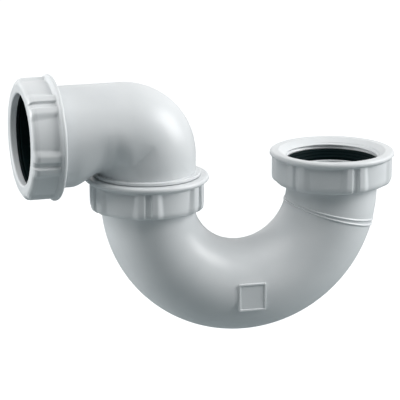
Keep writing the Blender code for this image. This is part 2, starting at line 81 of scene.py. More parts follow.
# Axes of the frame, from the joints that turn about them
COUPLING_AXIS = Vector(JOINTS["elbow_swivel"]["pos_m"])
OUTLET_SPOT = Vector(JOINTS["outlet_nut_turn"]["pos_m"])
OUTLET_AIM = Vector(JOINTS["outlet_nut_turn"]["axis"])
ELBOW_TURN = math.atan2(-OUTLET_AIM.y, -OUTLET_AIM.x)
PIVOT = Matrix.Translation(COUPLING_AXIS) @ Matrix.Rotation(ELBOW_TURN, 4, "Z")
OUTLET = PIVOT @ Matrix.Translation((0, 0, OUTLET_SPOT.z)) @ Matrix.Rotation(-math.pi / 2, 4, "Y")
INLET_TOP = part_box("inlet_nut")[1].z
COUPLING_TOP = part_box("coupling_nut")[1].z

FULL_TURN = 2 * math.pi

# How near two sizes are to be the same, and how far a male thread takes to reach its depth
TOUCH = 0.000001
THREAD_FADE = 0.0009

# Points of an outline's rounded corner
ARC_POINTS = 5


def number(name, text, default, **kind):
    """A number for the sidebar."""
    return FloatProperty(name=name, description=text, default=default, **kind)


def length(name, text, default):
    """A size in metres."""
    return number(name, text, default, unit="LENGTH", precision=5)


def angle(name, text, degrees):
    """An angle."""
    return number(name, text, math.radians(degrees), subtype="ANGLE")


def tint(name, text, default):
    """A colour for the sidebar."""
    return FloatVectorProperty(name=name, description=text, default=default, subtype="COLOR", size=3)


class TrapPipes(bpy.types.PropertyGroup):
    """Sizes of the U-bend and the elbow."""

    tube: length("Tube radius", "Outside of the U-bend's tube", 0.0230)
    tube_wall: length("Tube wall", "Wall of the U-bend's tube", 0.0026)
    flange: length("Flange radius", "Flange that a captive nut pulls up", 0.0225)
    flange_height: length("Flange height", "Thickness of the flange", 0.0030)
    neck: length("Neck radius", "Neck that the captive nut turns on", 0.0203)
    neck_wall: length("Neck wall", "Wall of the neck", 0.0023)
    inlet_straight: length("Inlet straight", "Straight tube under the inlet nut", 0.0015)
    line_angle: angle("Line angle", "Turn from the inlet to the two raised lines", 15)
    line_pitch: length("Line pitch", "Distance between the two raised lines", 0.0019)
    line_width: length("Line width", "Width of each raised line", 0.0012)
    line_height: length("Line height", "Height of each raised line", 0.0005)
    pad: length("Pad side", "Side of the square on the front of the bend", 0.0140)
    pad_drop: length("Pad drop", "Square's middle below the tube's centreline", 0.0008)
    pad_height: length("Pad height", "Height of the square's border", 0.0005)
    pad_border: length("Pad border", "Width of the square's border", 0.0010)
    limb: length("Limb radius", "Outside of the elbow's horizontal limb", 0.0250)
    riser: length("Riser radius", "Outside of the elbow's upright limb", 0.0243)
    heel: length("Heel radius", "Radius of the elbow's outer bend", 0.0366)
    elbow_wall: length("Elbow wall", "Wall of the elbow", 0.0028)
    underside: length("Underside lift", "Rise of the limb's underside to the throat", 0.0061)
    collar: length("Collar radius", "Shoulder ring above the coupling nut", 0.0268)
    collar_height: length("Collar height", "Thickness of the shoulder ring", 0.0015)
    spigot: length("Spigot radius", "Crest of the elbow's lower thread", 0.0237)
    spigot_bore: length("Spigot bore", "Bore of the elbow's lower end", 0.0195)
    socket: length("Socket radius", "Bore that takes the waste pipe", 0.0220)
    outlet_crest: length("Outlet crest", "Crest of the elbow's outlet thread", 0.02525)
    outlet_reach: length("Outlet reach", "Elbow's axis to the outlet nut's face", 0.0641)
    cone_depth: length("Cone depth", "Depth of the cone that the seal enters", 0.0090)
    cone_flare: length("Cone flare", "How far the cone opens", 0.0022)


class TrapNuts(bpy.types.PropertyGroup):
    """Sizes of the three nuts."""

    height: length("Height", "Height of every nut", 0.0167)
    lip: length("Lip", "Thickness of the inward lip", 0.0035)
    bore: length("Bore", "Thread's root radius in the two captive nuts", 0.0240)
    outlet_bore: length("Outlet bore", "Thread's root radius in the outlet nut", 0.02555)
    lip_hole: length("Lip hole", "Hole in the captive nuts' lips", 0.0206)
    outlet_hole: length("Outlet hole", "Hole in the outlet nut's lip", 0.0225)
    inlet_wall: length("Inlet wall", "Wall of the inlet nut", 0.0051)
    coupling_wall: length("Coupling wall", "Wall of the coupling nut", 0.0045)
    outlet_wall: length("Outlet wall", "Wall of the outlet nut", 0.00305)
    roll: length("Bead roll", "Radius of the rolled edge", 0.0013)
    bead: length("Bead height", "Height of the bead round the open end", 0.0028)
    bead_step: length("Bead step", "Bead's height over the ridges", 0.0011)
    rim: length("Rim width", "Flat of the open end", 0.0032)
    mouth: length("Mouth depth", "Depth of the lead-in to the thread", 0.0019)
    corner: length("Corner radius", "Round of the lip's outer corner", 0.0034)
    ridge: length("Ridge height", "Height of the grip ridges", 0.0013)
    groups: IntProperty(name="Grip groups", description="Pairs of ridges round a nut", default=6)
    pitch: length("Thread pitch", "Eleven turns to the inch", 0.0254 / 11)
    thread: length("Thread depth", "Depth of the threads", 0.0011)
    outlet_thread: length("Outlet thread depth", "Depth of the outlet's threads", 0.0005)
    coupling_thread: length("Coupling thread depth", "Kept clear of the spigot", 0.0002)
    inlet_phase: angle("Inlet phase", "Turn of the inlet nut's grips", 5.6)
    coupling_phase: angle("Coupling phase", "Turn of the coupling nut's grips", -12.5)
    outlet_phase: angle("Outlet phase", "Turn of the outlet nut's grips", 46)


class TrapRings(bpy.types.PropertyGroup):
    """Sizes of the washers, the seal and the slip ring."""

    clearance: length("Clearance", "Gap between faces that meet", 0.0003)
    washer: length("Washer radius", "Outside of both washers", 0.0234)
    washer_hole: length("Washer hole", "Hole of both washers", 0.0185)
    inlet_height: length("Inlet washer height", "Height of the ribbed washer", 0.0044)
    ribs: IntProperty(name="Ribs", description="Ribs on the inlet washer's funnel", default=3)
    rib_height: length("Rib height", "Height of the ribs", 0.0005)
    coupling_height: length("Coupling washer", "Thickness of the coupling washer", 0.0020)
    ring_radius: length("Ring radius", "Outside of the seal's head and the slip ring", 0.02495)
    seal_bore: length("Seal bore", "Bore of the seal", 0.0213)
    seal_length: length("Seal length", "Length of the seal", 0.0105)
    seal_head: length("Seal head", "Thickness of the seal's head", 0.0020)
    slip_height: length("Slip ring", "Thickness of the slip ring", 0.0012)


class TrapFinish(bpy.types.PropertyGroup):
    """Colours and surface of the materials."""

    plastic: tint("Plastic", "White polypropylene", (0.80, 0.82, 0.83))
    plastic_shade: tint("Plastic shade", "The plastic's greyer parts", (0.73, 0.755, 0.77))
    plastic_roughness: number(
        "Plastic roughness", "0 for a mirror and 1 for chalk", 0.36, min=0, max=1, subtype="FACTOR"
    )
    rubber: tint("Rubber", "Black rubber", (0.001, 0.004, 0.0045))
    rubber_bloom: tint("Rubber bloom", "The rubber's pale bloom", (0.003, 0.009, 0.010))
    hard: tint("Hard ring", "The slip ring's plastic", (0.004, 0.008, 0.009))
    floor: tint("Floor", "The floor's palest parts", (0.33, 0.365, 0.375))
    floor_shade: tint("Floor shade", "The floor's darkest parts", (0.30, 0.335, 0.345))


class TrapStage(bpy.types.PropertyGroup):
    """Floor, light and camera."""

    floor_drop: length("Floor drop", "Floor's depth under the trap", 0.10)
    ambient: number("Ambient", "Soft light from all round", 0.05)
    ambient_tint: tint("Ambient colour", "Colour of that soft light", (0.78, 0.96, 1))
    right: number("Right lamp", "Lamp on the right", 12, unit="POWER")
    top: number("Top lamp", "Lamp overhead", 4.3, unit="POWER")
    left: number("Left lamp", "Lamp behind, on the left", 7.5, unit="POWER")
    azimuth: angle("Azimuth", "Camera's turn about Z, from -Y", -15.06)
    elevation: angle("Elevation", "Camera's height over the horizon", 14.70)
    distance: length("Distance", "Camera to what it looks at", 1.2066)
    focal: number("Focal length", "Camera's lens", 216.954, unit="CAMERA")


def trap():
    """The sizes, colours and lights that the sidebar shows."""
    return bpy.context.scene.bath_trap


class Value:
    """A shader socket that can be used in sums with others and with numbers."""

    def __init__(self, tree, socket):
        self.tree = tree
        self.socket = socket

    def maths(self, operation, first, second, clamp=False):
        """The result of a Math node, held between 0 and 1 where it is clamped."""
        node = self.tree.nodes.new("ShaderNodeMath")
        node.operation = operation
        node.use_clamp = clamp
        for socket, value in zip(node.inputs, (first, second)):
            connect(self.tree, socket, value)
        return Value(self.tree, node.outputs[0])

    def __add__(self, other):
        return self.maths("ADD", self, other)

    __radd__ = __add__

    def __sub__(self, other):
        return self.maths("SUBTRACT", self, other)

    def __rsub__(self, other):
        return self.maths("SUBTRACT", other, self)

    def __mul__(self, other):
        return self.maths("MULTIPLY", self, other)

    __rmul__ = __mul__

    def limited(self):
        """This value held between 0 and 1."""
        return self.maths("ADD", self, 0, clamp=True)


def connect(tree, socket, value):
    """Link a value into a socket, or set the socket to a number or colour."""
    if isinstance(value, Value):
        tree.links.new(value.socket, socket)
    else:
        socket.default_value = value


class Shader:
    """A node tree under construction."""

    def __init__(self, tree):
        self.tree = tree
        tree.nodes.clear()

    def node(self, kind, setup=None, output=0, **sockets):
        """Add a node: its settings first, then its sockets.

        A socket goes by its name with _ for a space, or by its place in the list, as in at6.
        """
        node = self.tree.nodes.new("ShaderNode" + kind)
        for key, value in (setup or {}).items():
            setattr(node, key, value)
        for key, value in sockets.items():
            name = key.replace("_", " ")
            socket = node.inputs[int(name[2:])] if name.startswith("at") else node.inputs[name]
            connect(self.tree, socket, value)
        return Value(self.tree, node.outputs[output]) if node.outputs else None

    def place(self):
        """Object coordinates."""
        return self.node("TexCoord", output="Object")

    def noise(self, scale, detail=2):
        """Noise about as fine as 1 / scale metres."""
        return self.node("TexNoise", output="Fac", Vector=self.place(), Scale=scale, Detail=detail)

    def mix(self, factor, first, second):
        """Mix two colours; a Mix node's colour sockets are its seventh and eighth."""
        return self.node("Mix", {"data_type": "RGBA"}, output=2, at0=factor, at6=first, at7=second)


def opaque(colour, strength=1):
    """A colour times a strength, with full alpha."""
    return (*(part * strength for part in colour), 1)


def painted(name, paint):
    """The material of that name, its surface made the first time by a function of its empty tree."""
    material = bpy.data.materials.get(name)
    if material is None:
        material = bpy.data.materials.new(name)
        material.use_nodes = True
        shader = Shader(material.node_tree)
        shader.node("OutputMaterial", Surface=paint(shader))
    return material


def rough_surface(shader, factor, colours, height, strength, depth, **sockets):
    """A Principled surface of two colours mixed by a factor, with a height as its bump."""
    bump = shader.node("Bump", Strength=strength, Distance=depth, Height=height)
    colour = shader.mix(factor, *colours)
    return shader.node("BsdfPrincipled", Base_Color=colour, Normal=bump, **sockets)


def white_plastic(shader):
    """Moulded polypropylene: faint flow clouds, a fine skin and a soft waviness under the gloss."""
    finish = trap().finish
    clouds = shader.noise(55, 3)
    skin = shader.noise(2600)
    tone = (clouds * 1.6 - 0.3).limited()
    colours = opaque(finish.plastic_shade), opaque(finish.plastic)
    height = skin * 0.25 + shader.noise(190)
    rough = clouds * 0.06 + skin * 0.05 + (finish.plastic_roughness - 0.055)
    return rough_surface(shader, tone, colours, height, 0.35, 0.00006, Roughness=rough, IOR=1.49)


def black_rubber(shader):
    """Moulded rubber: a fine matt grain with a pale bloom in patches."""
    finish = trap().finish
    bloom = shader.noise(240, 3)
    colours = opaque(finish.rubber), opaque(finish.rubber_bloom)
    looks = {"Roughness": bloom * 0.15 + 0.45, "IOR": 1.4, "Specular_IOR_Level": 0.04}
    return rough_surface(shader, bloom, colours, shader.noise(3200, 3), 0.5, 0.00004, **looks)


def hard_plastic(shader):
    """The slip ring's plain hard plastic, a little paler in patches."""
    finish = trap().finish
    grain = shader.noise(1500)
    colours = opaque(finish.hard), opaque(finish.hard, 1.4)
    looks = {"Roughness": grain * 0.1 + 0.40, "IOR": 1.4, "Specular_IOR_Level": 0.06}
    return rough_surface(shader, grain, colours, grain, 0.3, 0.00003, **looks)


# The frame's own plain materials are named after the slots, so these take other names
MATERIALS = {
    "white_plastic": ("moulded_white_plastic", white_plastic),
    "black_rubber": ("moulded_black_rubber", black_rubber),
    "dark_plastic": ("worn_dark_plastic", hard_plastic),
}


def smooth_step(value):
    """0 below 0, 1 above 1, and 3v^2 - 2v^3 between."""
    held = np.clip(value, 0, 1)
    return held * held * (3 - 2 * held)


def soft_least(first, second, blend):
    """The lesser of two heights, with the corner between them rounded off over the blend."""
    share = np.clip(0.5 + 0.5 * (second - first) / blend, 0, 1)
    return second + (first - second) * share - blend * share * (1 - share)


def directions(vectors):
    """The vectors, each made of length 1."""
    return vectors / np.linalg.norm(vectors, axis=1, keepdims=True)


def outline(spacing, *corners):
    """Line through corners (across, along, radius), its corners arcs and its long sides split.

    An arc of radius r starts r / tan(half the corner's angle) from the corner. Its points turn
    evenly about a centre that lies r / sin(half the angle) along the bisector.
    """
    corners = np.array(corners, float)
    spots = corners[1:-1, :2]
    radius = corners[1:-1, 2:]
    back = directions(corners[:-2, :2] - spots)
    ahead = directions(corners[2:, :2] - spots)
    half = np.arccos(np.clip(np.sum(back * ahead, axis=1, keepdims=True), -1, 1)) / 2
    centre = spots + directions(back + ahead) * radius / np.sin(half)
    start = spots + back * radius / np.tan(half) - centre
    end = spots + ahead * radius / np.tan(half) - centre
    turn = (math.pi - 2 * half)[:, None]
    share = np.linspace(0, 1, ARC_POINTS)[None, :, None]
    arcs = np.sin((1 - share) * turn) * start[:, None] + np.sin(share * turn) * end[:, None]
    arcs = centre[:, None] + arcs / np.sin(turn)
    line = np.vstack((corners[:1, :2], arcs.reshape(-1, 2), corners[-1:, :2]))
    sides = np.diff(line, axis=0)
    parts = np.maximum(1, np.ceil(np.linalg.norm(sides, axis=1) / spacing)).astype(int)
    order = np.arange(parts.sum()) - np.repeat(np.cumsum(parts) - parts, parts)
    steps_along = np.repeat(sides / parts[:, None], parts, axis=0) * order[:, None]
    return np.vstack((np.repeat(line[:-1], parts, axis=0) + steps_along, line[-1:]))


def turned(line, angles, radius=None):
    """A line (radius, height) turned about Z: (r cos t, r sin t, height), with r given or its own."""
    radius = line[:, :1] if radius is None else radius
    height = line[:, 1:] + 0 * angles
    return np.stack((radius * np.cos(angles), radius * np.sin(angles), height), axis=-1)


def placed(points, place):
    """Points moved by a 4 by 4 matrix."""
    matrix = np.array(place)
    return points @ matrix[:3, :3].T + matrix[:3, 3]


def even_angles(columns):
    """Angles of the columns of a full turn."""
    return np.arange(columns) * FULL_TURN / columns


def add_object(data):
    """An object in the scene, with this mesh, lamp or camera and its name."""
    item = bpy.data.objects.new(data.name, data)
    bpy.context.scene.collection.objects.link(item)
    return item


def add_mesh(name, points, faces, material):
    """An object with a mesh of one material."""
    if not np.isfinite(points).all():
        raise ValueError(name + ": its sizes leave a point without a place")
    mesh = bpy.data.meshes.new(name)
    mesh.from_pydata(points.tolist(), [], faces)
    mesh.materials.append(painted(*material))
    return add_object(mesh)


def grid_faces(rows, columns):
    """Corners of the faces of a grid that closes round its columns and round its rows."""
    index = np.arange(rows * columns).reshape(rows, columns)
    right = np.roll(index, -1, axis=1)
    return np.stack((index, right, np.roll(right, -1, axis=0), np.roll(index, -1, axis=0)), axis=-1)


def add_piece(name, points, slot, body, *nodes, poles=False):
    """Mesh of a grid of points that closes round its columns, with its faces turned outwards.

    Its last row joins its first, or with poles each of the two is closed by a fan to its middle.
    The enclosed volume is the sum of every face's corner products over six, and where it comes out
    negative the faces' corners are taken the other way round.
    """
    rows, columns = points.shape[:2]
    spots = points.reshape(-1, 3)
    grid = grid_faces(rows, columns)
    faces = (grid[:-1] if poles else grid).reshape(-1, 4)
    a, b, c, d = (spots[faces[:, corner]] for corner in range(4))
    volume = np.sum(np.cross(a, b) * c) + np.sum(np.cross(a, c) * d)
    faces = faces.tolist()
    if poles:
        spots = np.vstack((spots, points[0].mean(axis=0), points[-1].mean(axis=0)))
        middle = np.full(columns, rows * columns)
        faces += np.column_stack((middle, grid[0, :, 1], grid[0, :, 0])).tolist()
        faces += np.column_stack((middle + 1, grid[-1, :, 0], grid[-1, :, 1])).tolist()
    piece = add_mesh(name, spots, faces, MATERIALS[slot])
    if volume < 0:
        piece.data.flip_normals()
    piece.data.shade_smooth()
    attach(piece, body)
    if nodes:
        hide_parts(*nodes)


def thread_wave(height, angles):
    """1 on a right-handed thread's crest and 0 at its root, from turns = height / pitch - angle.

    The crest and the root are each flat over a share of half a turn.
    """
    flat = 0.18
    turns = height / trap().nuts.pitch - angles / FULL_TURN
    saw = np.abs(2 * (turns - np.floor(turns)) - 1)
    return smooth_step((saw - flat) / (1 - 2 * flat))


def thread_window(height, low, high, fade):
    """1 between two heights, fading to 0 at both."""
    return smooth_step((height - low) / fade) * smooth_step((high - height) / fade)


def threaded(line, angles, crest, depth, low, high):
    """A line's radii at each angle, with a thread cut where the line runs along the crest's radius."""
    on_crest = np.abs(line[:, :1] - crest) < TOUCH
    window = thread_window(line[:, 1:], low, high, THREAD_FADE)
    cut = depth * (1 - thread_wave(line[:, 1:], angles)) * window
    return line[:, :1] - np.where(on_crest, cut, 0)


def section(middle, along, half, width, angles):
    """Oval of an upright plane: middle + along * half cos t in the plane, width sin t across it."""
    flat = middle[:, None] + along[:, None] * (half[:, None] * np.cos(angles))[..., None]
    side = width[:, None] * np.sin(angles)
    return np.stack((flat[..., 0], side, flat[..., 1]), axis=-1)


class Places:
    """Heights and distances that several pieces share, worked out from the sizes."""

    def __init__(self):
        pipes, nuts, rings = trap().pipes, trap().nuts, trap().rings
        gap = rings.clearance
        self.under_nut = nuts.height + gap
        self.flange_bottom = nuts.height - nuts.lip - gap
        self.flange_top = self.flange_bottom - pipes.flange_height
        self.washer_bottom = self.flange_top - gap
        self.spigot_end = self.washer_bottom - rings.coupling_height - gap
        self.bend = -COUPLING_AXIS.x / 2
        self.bend_top = INLET_TOP - self.under_nut - pipes.inlet_straight
        self.collar_bottom = COUPLING_TOP + gap
        self.collar_top = self.collar_bottom + pipes.collar_height
        self.nut_start = pipes.outlet_reach - nuts.height

        # Where the outlet's turned end and the planes across the limb meet
        self.joint = self.nut_start - 0.0014
        self.slip_front = pipes.outlet_reach - nuts.lip - gap
        self.seal_front = self.slip_front - rings.slip_height - gap
        self.elbow_end = self.seal_front - rings.seal_head - gap
        self.cone_start = self.elbow_end - pipes.cone_depth


def level_tilt(turns, start, end):
    """Tilt that lays the sections level at both ends of a run of turns, easing out over 22 degrees."""
    reach = math.radians(22)
    at_inlet = 1 - smooth_step((turns - start) / reach)
    at_coupling = smooth_step((turns - end) / reach + 1)
    return turns * at_inlet + (turns - math.pi) * at_coupling


def bend_sections(places, radius, turns, ends, swell, angles):
    """Sections of the U-bend's tube at turns from the inlet, swollen by a height at each.

    A section's line leaves the centreline at the turn less its tilt. It meets the bend's inner and
    outer circles where |centre + t d| is their radius, which gives its middle and its half length.
    """
    bend = places.bend
    centre = np.array((-bend, places.bend_top))
    spot = np.stack((np.cos(turns), -np.sin(turns)), axis=-1) * bend
    aim = turns - level_tilt(turns, *ends)
    along = np.stack((np.cos(aim), -np.sin(aim)), axis=-1)
    lean = np.sum(spot * along, axis=1)
    thick = radius + swell
    outer = -lean + np.sqrt(lean**2 - bend**2 + (bend + thick) ** 2)
    inner = -lean + np.sqrt(lean**2 - bend**2 + (bend - thick) ** 2)
    middle = centre + spot + along * ((outer + inner) / 2)[:, None]
    return section(middle, along, (outer - inner) / 2, thick, angles)


def turn_at(places, depth):
    """Turn at which the centreline reaches a height again on the coupling's side."""
    return math.pi - math.asin((places.bend_top - depth) / places.bend)


# Round of the U-bend's edges, and of its tube's shoulders under the nuts
EDGE = 0.0004
SHOULDER = 0.0009


def neck_line(places, top, *foot):
    """From the middle of the flange's top, over its edge and down the neck, to the foot."""
    pipes = trap().pipes
    middle = pipes.neck - pipes.neck_wall / 2
    return outline(
        0.0009,
        (middle, top - places.flange_top, 0),
        (pipes.flange, top - places.flange_top, EDGE),
        (pipes.flange, top - places.flange_bottom, EDGE),
        (pipes.neck, top - places.flange_bottom, EDGE / 2),
        (pipes.neck, top - places.under_nut, EDGE / 2),
        *foot,
    )


def throat_line(places, top):
    """From the tube's bore up the cone and the neck to the middle of the flange's top."""
    pipes = trap().pipes
    tube_bore = pipes.tube - pipes.tube_wall
    neck_bore = pipes.neck - pipes.neck_wall
    cone_start = top - places.under_nut - pipes.tube_wall / 2
    cone_end = cone_start - (tube_bore - neck_bore)
    return outline(
        0.0012,
        (tube_bore, cone_end - 2 * EDGE, 0),
        (tube_bore, cone_end, EDGE),
        (neck_bore, cone_start, 2 * EDGE),
        (neck_bore, top - places.flange_top, EDGE),
        (pipes.neck - pipes.neck_wall / 2, top - places.flange_top, 0),
    )


def raised_lines(turns, bend):
    """Height of the two lines at each turn: flat on top, easing down on both sides."""
    pipes = trap().pipes
    run = (turns - pipes.line_angle) * bend
    lines = 0
    for side in (-1, 1):
        away = np.abs(run - side * pipes.line_pitch / 2)
        lines = lines + smooth_step((pipes.line_width / 2 - away) / (pipes.line_width * 0.4))
    return lines * pipes.line_height


def square_pad(places):
    """The raised square: rings of a rounded square, scaled by a section from its middle outwards."""
    pipes = trap().pipes
    middle_hole = 0.0004
    sunk = pipes.tube - pipes.tube_wall * 0.5
    half = pipes.pad / 2
    crest = pipes.tube + pipes.pad_height
    floor = pipes.tube + pipes.pad_height * 0.15
    soft = pipes.pad_height * 0.35
    across = outline(
        0.0005,
        (middle_hole, floor, 0),
        (half - pipes.pad_border, floor, soft),
        (half - pipes.pad_border * 0.85, crest, soft),
        (half, crest, soft),
        (half + pipes.pad_height * 0.2, sunk, 0),
        (middle_hole, sunk, 0),
    )
    soft_corners = [(x, y, 0.09) for x, y in ((1, 1), (-1, 1), (-1, -1), (1, -1))]
    unit = outline(0.05, (1, 0, 0), *soft_corners, (1, 0, 0))[:-1]
    flat = across[:, :1, None] * unit[None]
    depth = -across[:, 1:] + 0 * unit[:, 0]
    middle = places.bend_top - places.bend - pipes.pad_drop
    points = np.stack((flat[..., 0] - places.bend, depth, flat[..., 1] + middle), axis=-1)
    add_piece("square_pad", points, "white_plastic", "trap", poles=True)


class TRAP_OT_u_bend(bpy.types.Operator):
    """Build the U-bend and the square on its front"""

    bl_idname = "bath_trap.u_bend"
    bl_label = "U-bend"

    # How far under the nuts the bore bends, and the angle of close rows by the raised lines
    cone_room = 0.0050
    line_zone = 0.05

    def execute(self, context):
        pipes = trap().pipes
        places = Places()
        angles = even_angles(128)
        mirrored = -1, 1, 1
        coupling = COUPLING_AXIS.x, 0, 0
        tube_bore = pipes.tube - pipes.tube_wall

        inlet_base = INLET_TOP - places.under_nut
        coupling_base = COUPLING_TOP - places.under_nut
        foot = (pipes.tube, inlet_base, SHOULDER), (pipes.tube, places.bend_top, 0)
        inlet_neck = turned(neck_line(places, INLET_TOP, *foot), angles)
        foot = (pipes.tube - 2 * SHOULDER, coupling_base, 0)
        coupling_neck = turned(neck_line(places, COUPLING_TOP, foot)[::-1], angles)

        end = turn_at(places, coupling_base - SHOULDER)
        fine = pipes.line_angle + np.linspace(-self.line_zone, self.line_zone, 41)
        turns = np.unique(np.concatenate((np.linspace(0, end, 190)[1:], fine)))

        # At turn 0 a section is level without a tilt, so the tilt's first end lies far behind it
        ends = -math.pi, end
        swell = raised_lines(turns, places.bend)
        skin = bend_sections(places, pipes.tube, turns, ends, swell, angles)
        roll = np.linspace(0, math.pi / 2, 6)[1:]
        last = np.full(len(roll), end)
        swell = SHOULDER * (np.cos(roll) - 1)
        rim = bend_sections(places, pipes.tube, last, ends, swell, angles)
        rim[..., 2] += (SHOULDER * np.sin(roll))[:, None]

        bore_start = math.asin((places.bend_top - inlet_base + self.cone_room) / places.bend)
        bore_end = turn_at(places, coupling_base - self.cone_room)
        turns = np.linspace(bore_end, bore_start, 90)
        ends = bore_start, bore_end
        bore = bend_sections(places, tube_bore, turns, ends, 0 * turns, angles)

        coupling_throat = turned(throat_line(places, COUPLING_TOP)[::-1], angles)
        rows = (
            inlet_neck,
            skin,
            rim,
            coupling_neck * mirrored + coupling,
            (coupling_throat * mirrored + coupling)[1:],
            bore,
            turned(throat_line(places, INLET_TOP), angles)[:-1],
        )
        add_piece("u_bend_skin", np.concatenate(rows), "white_plastic", "trap", "u_bend")
        square_pad(places)
        return {"FINISHED"}


def grip_columns():
    """Angles round a nut, close together where the grip ridges' walls stand."""
    groups = trap().nuts.groups
    stops = np.append(np.radians((0, 1.4, 4.0, 8.0, 18.5)), math.pi / groups)
    counts = (2, 8, 4, 14, 5)
    half = np.concatenate(
        [np.linspace(a, b, n, endpoint=False) for a, b, n in zip(stops[:-1], stops[1:], counts)]
    )
    group = np.unique(np.concatenate((half, [stops[-1]], -half[1:])))
    return (even_angles(groups)[:, None] + group).ravel()


def grips(angles, height):
    """1 on the ridges and 0 in the recesses, for angles round a nut and heights over its open end.

    A pair of ridges stands either side of a narrow groove. Each ridge's inner wall is steep, and
    its outer wall runs out in a foot that spreads towards the lip. The sizes are in degrees.
    """
    nuts = trap().nuts
    group = FULL_TURN / nuts.groups
    away = np.abs((angles + group / 2) % group - group / 2)
    groove, groove_wall, crest, foot, spread = np.radians((1.8, 2.1, 8.4, 13.5, 3.5))
    foot = foot - spread * height / nuts.height
    inner = smooth_step((away - groove) / groove_wall)
    outer = smooth_step((foot - away) / (foot - crest))
    return inner * outer


def nut_line(bore, hole, wall):
    """Section of a nut, open end at height 0: thread, lead-in, rolled bead, wall, lip and hole."""
    nuts = trap().nuts
    ridge = bore + wall + nuts.ridge
    crest = ridge + nuts.bead_step
    bottom = -nuts.height
    return outline(
        0.0003,
        (bore, bottom / 2, 0),
        (bore, -nuts.mouth, 0.0004),
        (crest - nuts.rim - nuts.roll, 0, 0.0007),
        (crest, 0, nuts.roll * 0.97),
        (crest, -nuts.bead * 0.66, nuts.bead_step * 0.35),
        (ridge, -nuts.bead, nuts.bead_step * 0.35),
        (ridge, bottom, nuts.corner),
        (hole, bottom, 0.0009),
        (hole, bottom + nuts.lip, 0.0004),
        (bore, bottom + nuts.lip, 0.0008),
        (bore, bottom / 2, 0),
    )[:-1]


def add_nut(name, place, sizes, thread):
    """A nut's section turned about its axis: its grips cut back the wall, its thread the bore.

    The sizes are its bore, hole and wall. The thread has a depth, an end and a turn to start at.
    The cut of the grips fades over the lip's corner, in step with the radius.
    """
    nuts = trap().nuts
    bore, hole, wall = sizes
    depth, thread_end, start = thread
    line = nut_line(bore, hole, wall)
    angles = grip_columns()
    radius = line[:, :1]
    height = line[:, 1:]
    bead_end = -nuts.bead * 0.97
    inner = bore + 0.3 * wall
    share = np.clip((radius - inner) / (bore + wall + nuts.ridge - inner), 0, 1)
    under_bead = smooth_step((bead_end - height) / (nuts.bead_step * 0.8))
    sunk = nuts.ridge * (1 - grips(angles, height)) * under_bead * share
    outside = (radius > inner) & (height < bead_end)
    inside = np.abs(radius - bore) < TOUCH
    window = thread_window(height, -thread_end, -nuts.mouth * 0.8, nuts.pitch * 0.5)
    cut = depth * thread_wave(height, angles + start) * window
    radius = radius - np.where(outside, sunk, 0) - np.where(inside, cut, 0)
    points = placed(turned(line, angles, radius), place)
    add_piece(name + "_skin", points, "white_plastic", name + "_body", name)


class TRAP_OT_nuts(bpy.types.Operator):
    """Build the three nuts with their grips and threads"""

    bl_idname = "bath_trap.nuts"
    bl_label = "Nuts"

    # How far the outlet nut's thread runs on past the elbow's end
    past_elbow = 0.001

    def execute(self, context):
        nuts, rings = trap().nuts, trap().rings
        places = Places()
        quarter = math.pi / 2
        washer_top = places.washer_bottom - rings.inlet_height + rings.clearance
        for side, across, top, depth, thread_end in (
            ("inlet", 0, INLET_TOP, nuts.thread, washer_top),
            ("coupling", COUPLING_AXIS.x, COUPLING_TOP, nuts.coupling_thread, places.spigot_end),
        ):
            turn = getattr(nuts, side + "_phase") - quarter
            place = Matrix.Translation((across, 0, top)) @ Matrix.Rotation(turn, 4, "Z")
            start = turn - FULL_TURN * (top / nuts.pitch + 0.5) - ELBOW_TURN
            sizes = nuts.bore, nuts.lip_hole, getattr(nuts, side + "_wall")
            add_nut(side + "_nut", place, sizes, (depth, thread_end, start))

        turn = quarter - nuts.outlet_phase
        place = OUTLET @ Matrix.Translation((0, 0, places.nut_start)) @ Matrix.Rotation(math.pi, 4, "X")
        place = place @ Matrix.Rotation(turn, 4, "Z")
        start = turn + FULL_TURN * (places.nut_start / nuts.pitch + 0.5)
        thread_end = places.elbow_end - places.nut_start + self.past_elbow
        sizes = nuts.outlet_bore, nuts.outlet_hole, nuts.outlet_wall
        add_nut("outlet_nut", place, sizes, (nuts.outlet_thread, thread_end, start))
        return {"FINISHED"}


# Out from the riser's side, the throat and the start of the rise of the limb's underside. Then how
# far in from the throat that rise starts to fade, and the most that fills the throat.
THROAT = 0.0020
LIFT_START = 0.0155
LIFT_END = 0.0040
THROAT_FILL = 0.0030


